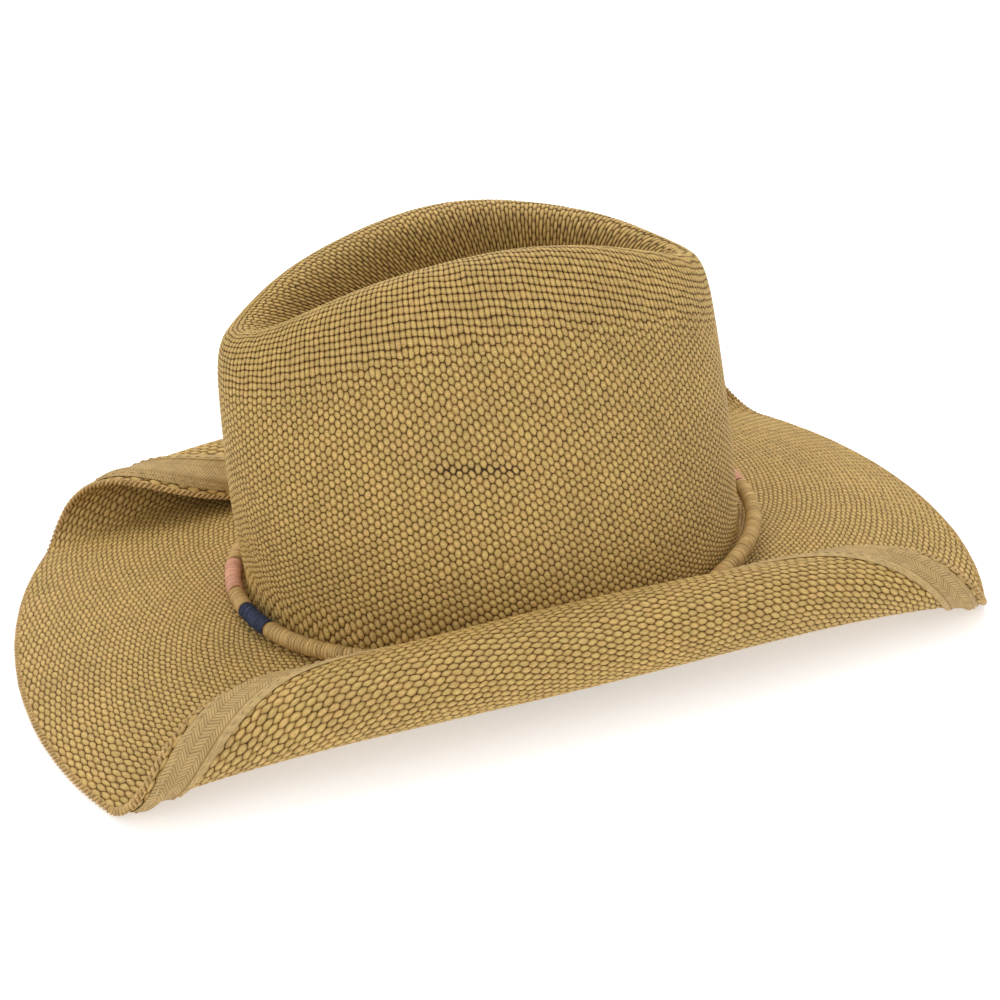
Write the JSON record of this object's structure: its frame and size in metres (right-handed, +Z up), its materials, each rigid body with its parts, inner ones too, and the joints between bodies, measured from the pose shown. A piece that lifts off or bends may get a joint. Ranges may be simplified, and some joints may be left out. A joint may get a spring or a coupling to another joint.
{
  "type": "cowboy hat",
  "caption": "Woven straw western hat with a creased teardrop crown, rolled side brims, an edge tape with a shaping wire, an inner sweatband and a thread-wrapped cord band.",
  "frame": {"origin": "centre of the hat's bounding box in plan, on the surface that the brim's front and back rest on", "axes": "+Z up through the crown, +Y from the hat's front to its back, +X towards the wearer's left"},
  "size_m": [0.226, 0.4016, 0.1577],
  "materials": {
    "straw": "woven paper straw, honey tan, matt with a slight sheen on the strand tops",
    "straw_cord": "twined paper straw",
    "herringbone_tape": "herringbone paper-yarn tape, matt",
    "sewing_thread": "polyester thread, matt",
    "shaping_wire": "drawn steel wire",
    "crimp_sleeve": "crimped tube",
    "sweatband_fabric": "ribbed grosgrain ribbon, matt",
    "sweatband_patch": "grosgrain ribbon, matt",
    "band_core_cord": "twisted cotton cord",
    "natural_wrap": "paper yarn, tightly wound",
    "pink_thread": "cotton thread, salmon pink",
    "navy_thread": "cotton thread, navy blue"
  },
  "bodies": {
    "root": {"woven_body": "straw", "selvedge_cord": "straw_cord", "edge_tape": "herringbone_tape", "edge_tape_thread_outer": "sewing_thread", "edge_tape_thread_inner": "sewing_thread", "brim_wire": "shaping_wire", "wire_sleeve": "crimp_sleeve", "sweatband": "sweatband_fabric", "sweatband_thread": "sewing_thread", "sweatband_seam_patch": "sweatband_patch", "band_core": "band_core_cord", "band_tacks": "sewing_thread", "band_wrap_pink_front": "pink_thread", "band_wrap_natural_front": "natural_wrap", "band_wrap_navy_front": "navy_thread", "band_wrap_natural_left": "natural_wrap", "band_wrap_pink_back": "pink_thread", "band_wrap_natural_back": "natural_wrap", "band_wrap_navy_back": "navy_thread", "band_wrap_natural_right": "natural_wrap"}
  },
  "joints": []
}
